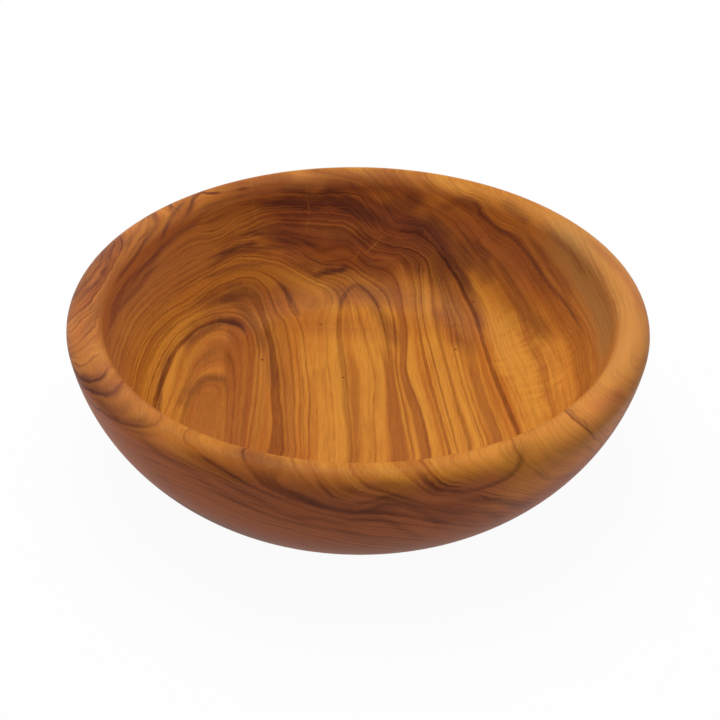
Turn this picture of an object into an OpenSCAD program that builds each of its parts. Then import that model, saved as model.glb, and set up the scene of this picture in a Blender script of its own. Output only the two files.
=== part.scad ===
// Shallow round dish, turned from one block of olive wood.
// Its half section is a chain of tangent arcs, which is spun about the Z axis.
// The origin is the centre of the foot, on the table, and Z points up.

/* [Dish] */
// Outside diameter at the widest point, on the round of the rim
dish_diameter = 130; // [100:1:180]
// Height from the table to the top of the rim
dish_height = 35.5; // [31:0.5:40]
// How far the edge of the flat foot lies inside the widest point
foot_inset = 25.5; // [22:0.5:32]

/* [Wall] */
// Thickness of the wall, square to its surface; the rim is a full round of this width
wall_thickness = 8; // [5:0.5:11]
// Thickness of the floor, between the foot and the hollow
floor_thickness = 8; // [5:0.5:12]

/* [Curves] */
// Radius of the heel, where the foot turns up into the side
heel_radius = 17.5; // [12:0.5:21]
// Radius of the sweep of the side, from the heel to the rim
side_radius = 46.5; // [37:0.5:70]
// Radius of the cove, where the floor of the hollow turns up into the wall
cove_radius = 18; // [10:0.5:22]

/* [Hidden] */

wood_colour = [0.66, 0.38, 0.13];
// Degrees between neighbouring points of an arc
arc_step = 3;
$fn = 180;

// The outside: the side is one sweep that is tangent to both the heel and the rim.
dish_radius = dish_diameter / 2;
rim_radius = wall_thickness / 2;
heel_centre = [dish_radius - foot_inset, heel_radius];
rim_centre = [dish_radius - rim_radius, dish_height - rim_radius];
side_centre = apex(heel_centre, rim_centre, side_radius - heel_radius, side_radius - rim_radius);

// The hollow: its wall is parallel to the side, so both have one centre, and the cove blends it into the floor.
hollow_radius = side_radius - wall_thickness;
cove_height = floor_thickness + cove_radius;
cove_reach = sqrt((hollow_radius - cove_radius) ^ 2 - (cove_height - side_centre.y) ^ 2);
cove_centre = [side_centre.x + cove_reach, cove_height];

// Directions in which neighbouring arcs touch, in degrees up from the horizontal.
down = -90;
outward = 0;
up = 90;
heel_end = heading(side_centre, heel_centre);
rim_start = heading(side_centre, rim_centre);
rim_end = rim_start + 180;
cove_end = heading(side_centre, cove_centre);

// Direction from one point to another.
function heading(from, to) = atan2(to.y - from.y, to.x - from.x);

// Third corner of a triangle on the base p-q, with sides a from p and b from q, on the left of p-q.
function apex(p, q, a, b) =
    let (
        base = norm(q - p),
        along = (base ^ 2 + a ^ 2 - b ^ 2) / (2 * base),
        off = sqrt(a ^ 2 - along ^ 2),
        way = (q - p) / base
    )
    p + way * along + [-way.y, way.x] * off;

// Points of an arc after its first one, where the stretch before it has ended.
function arc(centre, radius, start, end) =
    let (steps = ceil(abs(end - start) / arc_step))
    [
        for (i = [1:steps])
            let (angle = start + (end - start) * i / steps)
            centre + radius * [cos(angle), sin(angle)]
    ];

// Half section of the dish: up the outside, over the rim, down the hollow and back along the floor.
module section() {
    polygon(concat(
        [[0, 0], [heel_centre.x, 0]],
        arc(heel_centre, heel_radius, down, heel_end),
        arc(side_centre, side_radius, heel_end, rim_start),
        arc(rim_centre, rim_radius, rim_start, outward),
        arc(rim_centre, rim_radius, outward, up),
        arc(rim_centre, rim_radius, up, rim_end),
        arc(side_centre, hollow_radius, rim_start, cove_end),
        arc(cove_centre, cove_radius, cove_end, down),
        [[0, floor_thickness]]
    ));
}

module dish() {
    color(wood_colour) rotate_extrude() section();
}

dish();
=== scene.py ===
"""Shallow serving dish, turned from one block of olive wood, with the figure of the block's growth rings."""
import logging
import math
from collections.abc import Iterator
from dataclasses import dataclass, field
from enum import Enum
from typing import Union

import bpy
import numpy as np
from mathutils import Matrix, Vector


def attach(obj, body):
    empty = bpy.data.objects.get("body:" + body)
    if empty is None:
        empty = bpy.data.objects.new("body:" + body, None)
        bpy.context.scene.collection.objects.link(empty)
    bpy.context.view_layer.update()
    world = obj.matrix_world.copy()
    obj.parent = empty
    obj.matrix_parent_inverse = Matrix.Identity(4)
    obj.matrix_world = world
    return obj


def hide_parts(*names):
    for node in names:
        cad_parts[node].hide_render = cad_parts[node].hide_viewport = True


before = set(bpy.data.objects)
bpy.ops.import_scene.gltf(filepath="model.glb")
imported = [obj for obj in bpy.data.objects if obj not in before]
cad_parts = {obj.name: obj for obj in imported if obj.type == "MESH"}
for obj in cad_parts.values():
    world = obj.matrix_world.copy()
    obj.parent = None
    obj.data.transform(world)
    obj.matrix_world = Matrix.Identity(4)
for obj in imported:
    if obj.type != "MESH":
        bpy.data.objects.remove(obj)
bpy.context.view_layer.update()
LOG = logging.getLogger("olive_dish")

MM = 0.001
Value = Union["Wire", float, int]
Colour = tuple[float, float, float, float]
Point = tuple[float, float]


def tint(red: int, green: int, blue: int) -> Colour:
    """A colour as it looks on a screen, 0 to 255, as the linear colour that a shader takes.

    Args:
        red: Share of red.
        green: Share of green.
        blue: Share of blue.

    Returns:
        The linear colour with an alpha of 1.
    """
    def linear(level: int) -> float:
        """One channel without the screen's curve."""
        share = level / 255
        return share / 12.92 if share <= 0.04045 else ((share + 0.055) / 1.055) ** 2.4

    return linear(red), linear(green), linear(blue), 1.0


def soft_step(share: np.ndarray) -> np.ndarray:
    """Eases values from 0 to 1, and holds what lies beyond."""
    share = np.clip(share, 0.0, 1.0)
    return share * share * (3 - 2 * share)


class Wire:
    """An output socket that takes part in Python expressions; each operation adds a Math node."""

    def __init__(self, bench: "Bench", socket: bpy.types.NodeSocket) -> None:
        """Keeps the socket and the bench that its nodes go on."""
        self.bench = bench
        self.socket = socket

    def _math(self, operation: str, *terms: Value) -> "Wire":
        """Adds one Math node over the terms."""
        return self.bench.node("ShaderNodeMath", {"operation": operation}, dict(enumerate(terms)))

    def __add__(self, other: Value) -> "Wire":
        """Sum."""
        return self._math("ADD", self, other)

    def __radd__(self, other: Value) -> "Wire":
        """Sum with a number in front."""
        return self._math("ADD", other, self)

    def __sub__(self, other: Value) -> "Wire":
        """Difference."""
        return self._math("SUBTRACT", self, other)

    def __rsub__(self, other: Value) -> "Wire":
        """Difference from a number in front."""
        return self._math("SUBTRACT", other, self)

    def __mul__(self, other: Value) -> "Wire":
        """Product."""
        return self._math("MULTIPLY", self, other)

    def __rmul__(self, other: Value) -> "Wire":
        """Product with a number in front."""
        return self._math("MULTIPLY", other, self)

    def __truediv__(self, other: Value) -> "Wire":
        """Quotient."""
        return self._math("DIVIDE", self, other)

    def __rtruediv__(self, other: Value) -> "Wire":
        """Quotient of a number in front."""
        return self._math("DIVIDE", other, self)

    def __neg__(self) -> "Wire":
        """Opposite."""
        return self._math("MULTIPLY", self, -1.0)

    def least(self, other: Value) -> "Wire":
        """The smaller of two values."""
        return self._math("MINIMUM", self, other)

    def most(self, other: Value) -> "Wire":
        """The larger of two values."""
        return self._math("MAXIMUM", self, other)

    def root(self) -> "Wire":
        """Square root."""
        return self._math("SQRT", self)

    def cos(self) -> "Wire":
        """Cosine."""
        return self._math("COSINE", self)

    def sin(self) -> "Wire":
        """Sine."""
        return self._math("SINE", self)

    def heading(self, across: Value) -> "Wire":
        """Angle of the direction that rises by this value over that one."""
        return self._math("ARCTAN2", self, across)

    def rise(self, low: float, high: float) -> "Wire":
        """0 below low, 1 above high and a smooth step between; high may lie under low.

        Args:
            low: Value at which the step is 0.
            high: Value at which the step is 1.

        Returns:
            The step.
        """
        return self.bench.node(
            "ShaderNodeMapRange",
            {"interpolation_type": "SMOOTHSTEP", "clamp": True},
            {"Value": self, "From Min": low, "From Max": high, "To Min": 0.0, "To Max": 1.0},
        )


class Blend(Enum):
    """How a colour is laid over another, as the Mix node's blend type."""

    COVER = "MIX"
    SHADE = "MULTIPLY"


@dataclass(frozen=True)
class Layer:
    """One colour over the wood: how much of it shows, and how it is laid."""

    share: Value
    colour: Colour
    how: Blend = Blend.COVER


class Bench:
    """Adds nodes to one tree and links them."""

    def __init__(self, tree: bpy.types.NodeTree) -> None:
        """Takes an empty tree."""
        self.tree = tree

    def node(self, kind: str, settings: dict | None = None, sockets: dict | None = None, out: int | str = 0) -> Wire:
        """Adds a node: its settings first, then the values and links of its sockets.

        Args:
            kind: Blender's name for the node type.
            settings: Attributes of the node.
            sockets: Values or wires by the input's name or number.
            out: The output to hand on, by name or number.

        Returns:
            The wire of that output.
        """
        made = self.tree.nodes.new(kind)
        for name, value in (settings or {}).items():
            setattr(made, name, value)
        for key, value in (sockets or {}).items():
            if isinstance(value, Wire):
                self.tree.links.new(value.socket, made.inputs[key])
            else:
                made.inputs[key].default_value = value
        return Wire(self, made.outputs[out]) if len(made.outputs) else Wire(self, made.inputs[0])

    def vector(self, across: Value, along: Value, up: Value) -> Wire:
        """Joins three values to a vector."""
        return self.node("ShaderNodeCombineXYZ", None, {0: across, 1: along, 2: up})

    def parts(self, vector: Wire) -> tuple[Wire, Wire, Wire]:
        """Splits a vector into its three values."""
        outs = self.node("ShaderNodeSeparateXYZ", None, {0: vector}).socket.node.outputs
        return tuple(Wire(self, outs[i]) for i in range(3))

    def scaled(self, vector: Wire, by: tuple[float, float, float]) -> Wire:
        """Multiplies a vector part by part."""
        return self.node("ShaderNodeVectorMath", {"operation": "MULTIPLY"}, {0: vector, 1: by})

    def noise(self, vector: Wire, detail: float, roughness: float) -> Wire:
        """Smooth noise from 0 to 1, one lump for each unit of the vector."""
        return self.node("ShaderNodeTexNoise", {"noise_dimensions": "3D"},
                         {"Vector": vector, "Scale": 1.0, "Detail": detail, "Roughness": roughness})

    def lay(self, under: Union[Wire, Colour], *layers: Layer) -> Wire:
        """Lays colours over each other.

        Args:
            under: The lowest colour.
            layers: What comes over it, in order.

        Returns:
            The colour that shows.
        """
        for layer in layers:
            under = self.node("ShaderNodeMix",
                              {"data_type": "RGBA", "blend_type": layer.how.value, "clamp_factor": True},
                              {0: layer.share, 6: under, 7: layer.colour}, 2)
        return under


@dataclass(frozen=True)
class Arc:
    """One arc of the section, as wires of the geometry tree."""

    radius: Wire
    start: Value
    end: Value
    way: float


@dataclass
class TurnedDish:
    """The dish: a chain of tangent arcs, spun about the upright axis. Sizes are in metres."""

    # A hair under the source's 130 mm, so that this finer mesh stays inside the box of the CAD mesh
    dish_diameter: float = 129.96 * MM
    dish_height: float = 35.5 * MM
    foot_inset: float = 25.5 * MM
    wall_thickness: float = 8 * MM
    floor_thickness: float = 8 * MM
    heel_radius: float = 17.5 * MM
    side_radius: float = 46.5 * MM
    cove_radius: float = 18 * MM
    around: int = 420
    along: int = 220
    foot_share: float = 0.06
    weld: float = 0.001 * MM
    piece: bpy.types.Object | None = field(default=None, init=False)

    @property
    def foot(self) -> float:
        """Radius of the foot, in millimetres."""
        return (self.dish_diameter / 2 - self.foot_inset) / MM

    def _inputs(self) -> dict[str, float]:
        """Named sizes that the tree takes."""
        return {
            "Dish radius": self.dish_diameter / 2,
            "Dish height": self.dish_height,
            "Foot inset": self.foot_inset,
            "Wall thickness": self.wall_thickness,
            "Floor thickness": self.floor_thickness,
            "Heel radius": self.heel_radius,
            "Side radius": self.side_radius,
            "Cove radius": self.cove_radius,
        }

    def _chain(self, size: dict[str, Wire]) -> tuple[Wire, list[Arc], Wire]:
        """Works out the tangent arcs from the sizes.

        Args:
            size: Wires of the tree's named inputs.

        Returns:
            The foot's radius, the arcs from heel to cove, and the radius of the flat floor.
        """
        heel, side, cove, wall = (size[n] for n in ("Heel radius", "Side radius", "Cove radius", "Wall thickness"))
        rim = wall * 0.5
        heel_x = size["Dish radius"] - size["Foot inset"]
        rim_x = size["Dish radius"] - rim
        rim_z = size["Dish height"] - rim
        run_x, run_z = rim_x - heel_x, rim_z - heel
        base = (run_x * run_x + run_z * run_z).root()
        low, high = side - heel, side - rim
        part = (base * base + low * low - high * high) / (base * 2.0)
        off = (low * low - part * part).root()
        side_x = heel_x + (run_x * part - run_z * off) / base
        side_z = heel + (run_z * part + run_x * off) / base
        hollow = side - wall
        cove_z = size["Floor thickness"] + cove
        fall, gap = cove_z - side_z, hollow - cove
        reach = (gap * gap - fall * fall).root()
        heel_end = (heel - side_z).heading(heel_x - side_x)
        rim_start = (rim_z - side_z).heading(rim_x - side_x)
        cove_end = fall.heading(reach)
        down = -math.pi / 2
        arcs = [
            Arc(heel, down, heel_end, 1.0),
            Arc(side, heel_end, rim_start, 1.0),
            Arc(rim, rim_start, rim_start + math.pi, 1.0),
            Arc(hollow, rim_start, cove_end, -1.0),
            Arc(cove, cove_end, down, -1.0),
        ]
        return heel_x, arcs, side_x + reach

    def _tree(self) -> bpy.types.NodeTree:
        """Builds the geometry tree that bends a grid into the turned shell.

        Returns:
            The tree, with the sizes and the wood as its named inputs.
        """
        tree = bpy.data.node_groups.new("turned_dish", "GeometryNodeTree")
        for name in self._inputs():
            tree.interface.new_socket(name, in_out="INPUT", socket_type="NodeSocketFloat")
        tree.interface.new_socket("Wood", in_out="INPUT", socket_type="NodeSocketMaterial")
        tree.interface.new_socket("Shell", in_out="OUTPUT", socket_type="NodeSocketGeometry")
        bench = Bench(tree)
        given = bench.node("NodeGroupInput").socket.node.outputs
        size = {name: Wire(bench, given[name]) for name in self._inputs()}
        foot, arcs, flat = self._chain(size)

        grid = bench.node("GeometryNodeMeshGrid", None, {
            "Size X": 1.0, "Size Y": 1.0, "Vertices X": self.around + 1, "Vertices Y": self.along + 1})
        turn, share, _ = bench.parts(Wire(bench, grid.socket.node.outputs["UV Map"]))
        turn = turn * math.tau

        spans = [(arc.end - arc.start) * arc.radius * arc.way for arc in arcs]
        rest = flat
        for span in spans:
            rest = rest + span
        behind = (share - self.foot_share) / (1 - self.foot_share)
        run = foot * (share / self.foot_share).least(1.0) + rest * behind.most(0.0)
        radius = run.least(foot)
        height: Value = 0.0
        passed = foot
        for arc, span in zip(arcs, spans):
            gone = (run - passed).most(0.0).least(span)
            angle = gone * arc.way / arc.radius + arc.start
            start = arc.start if isinstance(arc.start, Wire) else None
            first_x = start.cos() if start else math.cos(arc.start)
            first_z = start.sin() if start else math.sin(arc.start)
            radius = radius + (angle.cos() - first_x) * arc.radius
            height = (angle.sin() - first_z) * arc.radius + height
            passed = passed + span
        radius = (radius - (run - passed).most(0.0)).most(0.0)

        shell = bench.node("GeometryNodeSetPosition", None, {
            "Geometry": grid, "Position": bench.vector(radius * turn.cos(), radius * turn.sin(), height)})
        shell = bench.node("GeometryNodeStoreNamedAttribute", {"data_type": "FLOAT", "domain": "POINT"},
                           {"Geometry": shell, "Name": "run", "Value": run / MM})
        shell = bench.node("GeometryNodeMergeByDistance", None, {"Geometry": shell, "Distance": self.weld})
        shell = bench.node("GeometryNodeSetShadeSmooth", None, {"Geometry": shell, "Shade Smooth": True})
        shell = bench.node("GeometryNodeRealizeInstances", None, {"Geometry": shell})
        shell = bench.node("GeometryNodeSetMaterial", None,
                           {"Geometry": shell, "Material": Wire(bench, given["Wood"])})
        bench.node("NodeGroupOutput", None, {"Shell": shell})
        return tree

    def build(self, wood: bpy.types.Material) -> bpy.types.Object:
        """Makes the shell as a plain mesh.

        Args:
            wood: Material of the whole dish.

        Returns:
            The piece, at the origin.
        """
        piece = bpy.data.objects.new("dish_turned", bpy.data.meshes.new("dish_turned"))
        bpy.context.scene.collection.objects.link(piece)
        tree = self._tree()
        modifier = piece.modifiers.new("turning", "NODES")
        modifier.node_group = tree
        values = {**self._inputs(), "Wood": wood}
        for item in tree.interface.items_tree:
            if item.in_out == "INPUT":
                modifier[item.identifier] = values[item.name]
        shaped = piece.evaluated_get(bpy.context.evaluated_depsgraph_get())
        mesh = bpy.data.meshes.new_from_object(shaped)
        piece.modifiers.remove(modifier)
        piece.data = mesh
        mesh.name = "dish_turned"
        self.piece = piece
        return piece

    def _held(self, name: str) -> np.ndarray:
        """Three numbers that each point of the mesh holds.

        Args:
            name: Blender's name for them.

        Returns:
            One row for each point.
        """
        held = np.empty(len(self.piece.data.vertices) * 3, np.float32)
        self.piece.data.vertices.foreach_get(name, held)
        return held.reshape(-1, 3).astype(float)

    def points(self) -> np.ndarray:
        """Places of the mesh's points, in millimetres."""
        return self._held("co") / MM

    def normals(self) -> np.ndarray:
        """Directions that the surface faces at the mesh's points."""
        return self._held("normal")

    def section(self) -> np.ndarray:
        """The section as rows of run, radius and height in millimetres, read from the mesh.

        Returns:
            Rows in the order of the run, from the foot's centre over the rim to the floor's centre.
        """
        run = np.empty(len(self.piece.data.vertices), np.float32)
        self.piece.data.attributes["run"].data.foreach_get("value", run)
        places = self.points()
        slit = 0.001
        cut = (np.abs(places[:, 1]) < slit) & (places[:, 0] > -slit)
        rows = np.c_[run[cut], places[cut, 0], places[cut, 2]]
        return rows[np.argsort(rows[:, 0])]

    def mark(self, name: str, values: np.ndarray) -> None:
        """Stores one value for each point of the mesh.

        Args:
            name: Name that the material reads.
            values: The values, in the order of the points.
        """
        self.piece.data.attributes.new(name, "FLOAT", "POINT").data.foreach_set("value", values.astype(np.float32))

    def place(self) -> None:
        """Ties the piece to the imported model."""
        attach(self.piece, "root")
        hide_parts("dish")


class Face(Enum):
    """Where a guide's points are given."""

    HOLLOW = "x and y seen from above, in millimetres"
    OUTSIDE = "degrees round the dish and millimetres up from the edge of the foot"


@dataclass(frozen=True)
class GrainGuide:
    """A growth line that was followed over the wood."""

    ring: float
    face: Face
    points: tuple[Point, ...]
    gap: float = 4.0

    def smooth(self) -> np.ndarray:
        """A smooth curve through the guide's points.

        Returns:
            Points on the face, at most about the gap apart.
        """
        given = np.array(self.points, float)
        if len(given) < 2:
            return given
        given = np.vstack([2 * given[0] - given[1], given, 2 * given[-1] - given[-2]])
        rows = []
        for before, start, end, after in zip(given, given[1:], given[2:], given[3:]):
            for t in np.linspace(0, 1, math.ceil(math.dist(start, end) / self.gap), endpoint=False):
                rows.append(start + (end - before) * t / 2 + (before - 2.5 * start + 2 * end - after / 2) * t ** 2
                            + (1.5 * (start - end) + (after - before) / 2) * t ** 3)
        return np.array(rows + [given[-2]])

    def places(self, section: np.ndarray, foot: float) -> np.ndarray:
        """Puts the guide's points on the dish.

        Args:
            section: Rows of run, radius and height.
            foot: Radius of the foot.

        Returns:
            Places in millimetres.
        """
        given = self.smooth()
        run, radius, height = section.T
        if self.face is Face.HOLLOW:
            top = int(np.argmax(height))
            inside, level = radius[top:][::-1], height[top:][::-1]
            return np.c_[given, np.interp(np.hypot(*given.T), inside, level)]
        turn = np.radians(given[:, 0])
        reach = np.interp(given[:, 1] + foot, run, radius)
        return np.c_[reach * np.cos(turn), reach * np.sin(turn), np.interp(given[:, 1] + foot, run, height)]


@dataclass
class GrowthRings:
    """Rings round a pith under the dish, pulled onto the guides. Sizes are in millimetres.

    The free foot is the radius of a circle under the foot, and the free back holds radius and height of arcs round
    the back of the outside; there the rings stay even.
    """

    guides: tuple[GrainGuide, ...]
    pith_x: float = -41.0
    pith_z: float = -80.0
    lean: float = 0.007
    tilt: float = 0.005
    first_ring: float = 88.0
    softness: float = 3.5
    slack: float = 0.15
    free_foot: float = 30.0
    free_back: tuple[Point, ...] = ((52.0, 8.0), (62.0, 22.0))
    batch: int = 4000
    knots: np.ndarray = field(default_factory=lambda: np.zeros((0, 3)), init=False)
    pulls: np.ndarray = field(default_factory=lambda: np.zeros(0), init=False)

    def plain(self, places: np.ndarray) -> np.ndarray:
        """Ring number at places, for straight and even growth."""
        x, y, z = places.T
        return np.hypot(x - self.pith_x + self.lean * y, z - self.pith_z + self.tilt * y) - self.first_ring

    def _batches(self, places: np.ndarray) -> Iterator[slice]:
        """Slices of the places that keep the table of distances small."""
        return (slice(first, first + self.batch) for first in range(0, len(places), self.batch))

    def _free(self) -> np.ndarray:
        """Places under the foot and on the back where the rings stay even.

        Returns:
            Rows of x, y and z.
        """
        spots = [(self.free_foot, 0.0, turn) for turn in range(0, 360, 45)]
        spots += [(*spot, turn) for turn in range(15, 180, 30) for spot in self.free_back]
        radius, height, turn = np.array(spots).T
        return np.c_[radius * np.cos(np.radians(turn)), radius * np.sin(np.radians(turn)), height]

    def _reach(self, places: np.ndarray) -> np.ndarray:
        """Rounded distance of places from the knots."""
        apart = places[:, None] - self.knots[None]
        return np.sqrt((apart * apart).sum(-1) + self.softness ** 2)

    def fit(self, section: np.ndarray, foot: float) -> None:
        """Solves the pull that bends the even rings onto the guides.

        Args:
            section: Rows of the dish's run, radius and height.
            foot: Radius of the foot.
        """
        rows = [(guide.places(section, foot), guide.ring) for guide in self.guides]
        free = self._free()
        self.knots = np.vstack([places for places, _ in rows] + [free])
        wanted = np.concatenate([np.full(len(places), ring) for places, ring in rows] + [self.plain(free)])
        count = len(self.knots)
        matrix = np.ones((count + 1, count + 1))
        matrix[:count, :count] = self.slack * np.eye(count) - self._reach(self.knots)
        matrix[count, count] = 0.0
        self.pulls = np.linalg.solve(matrix, np.append(wanted - self.plain(self.knots), 0.0))

    def at(self, places: np.ndarray) -> np.ndarray:
        """Ring number at places.

        Args:
            places: Rows of x, y and z.

        Returns:
            One ring number for each row.
        """
        out = self.plain(places) + self.pulls[-1]
        for part in self._batches(places):
            out[part] -= self._reach(places[part]) @ self.pulls[:-1]
        return out

    def pace(self, places: np.ndarray, facing: np.ndarray) -> np.ndarray:
        """How fast the rings follow each other along the surface.

        Args:
            places: Rows of x, y and z.
            facing: Normals of the surface there.

        Returns:
            Rings in each millimetre.
        """
        out = np.zeros((len(places), 3))
        for part in self._batches(places):
            apart = places[part, None] - self.knots[None]
            share = self.pulls[:-1] / self._reach(places[part])
            out[part] = -(apart * share[..., None]).sum(1)
        x, y, z = places.T
        dx, dz = x - self.pith_x + self.lean * y, z - self.pith_z + self.tilt * y
        away = np.hypot(dx, dz)
        out += np.c_[dx, dx * self.lean + dz * self.tilt, dz] / away[:, None]
        out -= facing * (out * facing).sum(1)[:, None]
        return np.linalg.norm(out, axis=1)


def guides(face: Face, *rows: tuple[float, tuple[Point, ...]]) -> tuple[GrainGuide, ...]:
    """Growth lines on one face, from rows of ring number and points."""
    return tuple(GrainGuide(ring, face, points) for ring, points in rows)


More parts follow.
